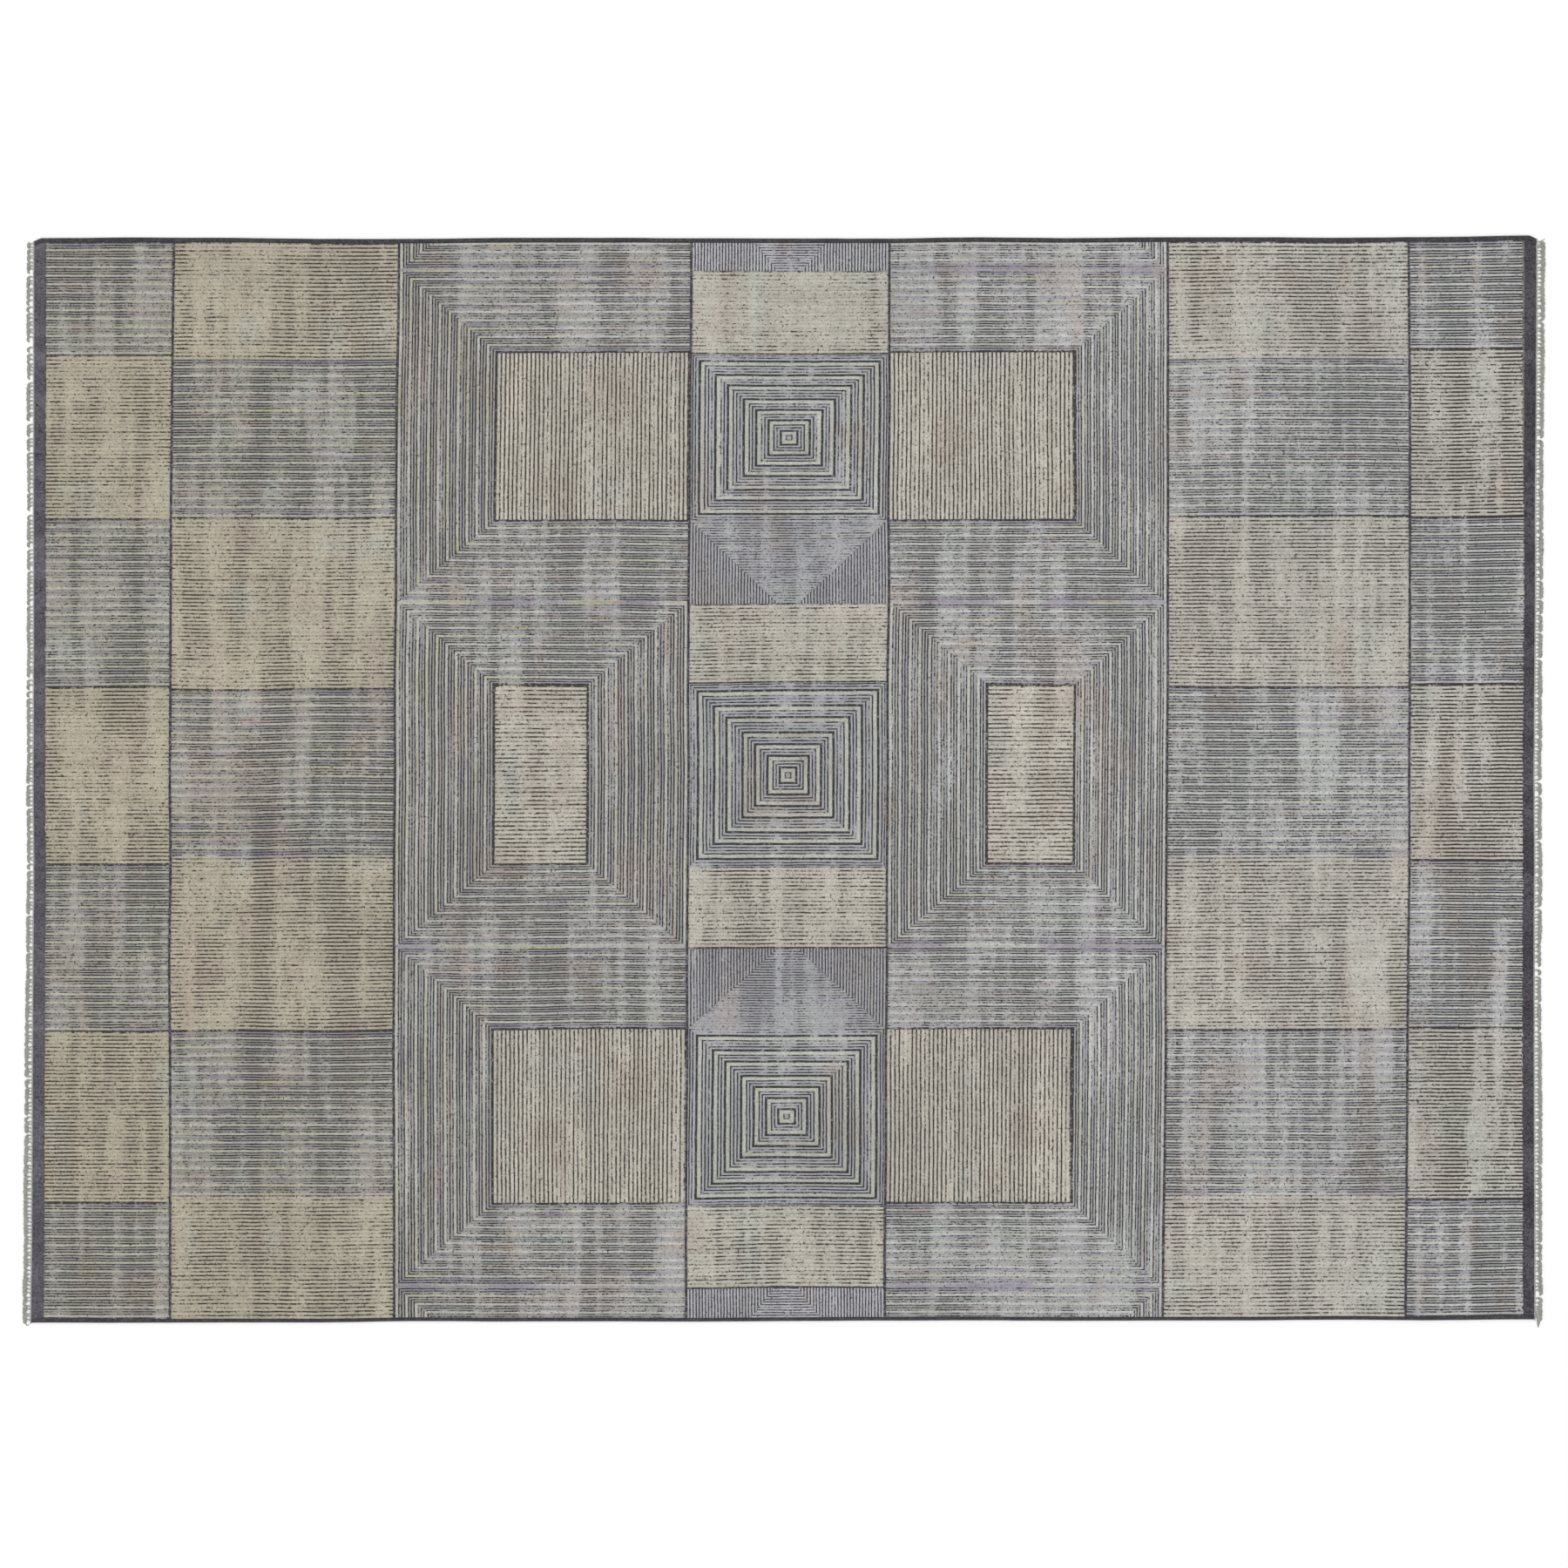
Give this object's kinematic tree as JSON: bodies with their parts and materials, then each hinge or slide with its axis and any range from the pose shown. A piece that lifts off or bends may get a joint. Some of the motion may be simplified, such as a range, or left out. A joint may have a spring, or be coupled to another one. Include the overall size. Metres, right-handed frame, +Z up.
{
  "type": "area rug",
  "caption": "Rectangular hand-knotted area rug: low wool pile in grey and sand fields with concentric squares, dark end bands, overcast edges and short knotted fringe.",
  "frame": {"origin": "middle of the flat underside, on the floor the rug lies on", "axes": "+X along the rug's length, +Y across its width, +Z up out of the pile"},
  "size_m": [4.267, 3.048, 0.009],
  "materials": {
    "ground_cotton": "woven cotton",
    "charcoal_wool": "matte wool",
    "dark_line_wool": "matte wool",
    "warp_cotton": "matte cotton",
    "sand_wool": "wool pile",
    "grey_wool": "wool pile",
    "silver_wool": "wool pile",
    "blue_grey_wool": "wool pile"
  },
  "bodies": {
    "root": {"column_lines": "dark_line_wool", "end_band_left": "charcoal_wool", "end_band_right": "charcoal_wool", "fringe_left": "warp_cotton", "fringe_right": "warp_cotton", "ground_weave": "ground_cotton", "pile_a1_grey": "grey_wool", "pile_a2_sand": "sand_wool", "pile_a3_grey": "grey_wool", "pile_a4_sand": "sand_wool", "pile_a5_grey": "grey_wool", "pile_a6_sand": "sand_wool", "pile_a7_grey": "grey_wool", "pile_b1_sand": "sand_wool", "pile_b2_grey": "grey_wool", "pile_b3_sand": "sand_wool", "pile_b4_grey": "grey_wool", "pile_b5_sand": "sand_wool", "pile_b6_grey": "grey_wool", "pile_b7_sand": "sand_wool", "pile_c1_block": "sand_wool", "pile_c1_frame": "grey_wool", "pile_c2_block": "sand_wool", "pile_c2_frame": "grey_wool", "pile_c3_block": "sand_wool", "pile_c3_frame": "grey_wool", "pile_d1_chevron": "blue_grey_wool", "pile_d1_sand": "sand_wool", "pile_d1_squares": "silver_wool", "pile_d2_chevron": "blue_grey_wool", "pile_d2_sand": "sand_wool", "pile_d2_squares": "silver_wool", "pile_d3_sand": "sand_wool", "pile_d3_squares": "silver_wool", "pile_d4_sand": "sand_wool", "pile_d_strips": "blue_grey_wool", "pile_e1_block": "sand_wool", "pile_e1_frame": "grey_wool", "pile_e2_block": "sand_wool", "pile_e2_frame": "grey_wool", "pile_e3_block": "sand_wool", "pile_e3_frame": "grey_wool", "pile_f1_sand": "sand_wool", "pile_f2_grey": "grey_wool", "pile_f3_sand": "sand_wool", "pile_f4_grey": "grey_wool", "pile_f5_sand": "sand_wool", "pile_f6_grey": "grey_wool", "pile_f7_sand": "sand_wool", "pile_g1_grey": "grey_wool", "pile_g2_sand": "sand_wool", "pile_g3_grey": "grey_wool", "pile_g4_sand": "sand_wool", "pile_g5_grey": "grey_wool", "pile_g6_sand": "sand_wool", "pile_g7_grey": "grey_wool", "selvage_far": "charcoal_wool", "selvage_near": "charcoal_wool", "twined_cord_left": "warp_cotton", "twined_cord_right": "warp_cotton"}
  },
  "joints": []
}
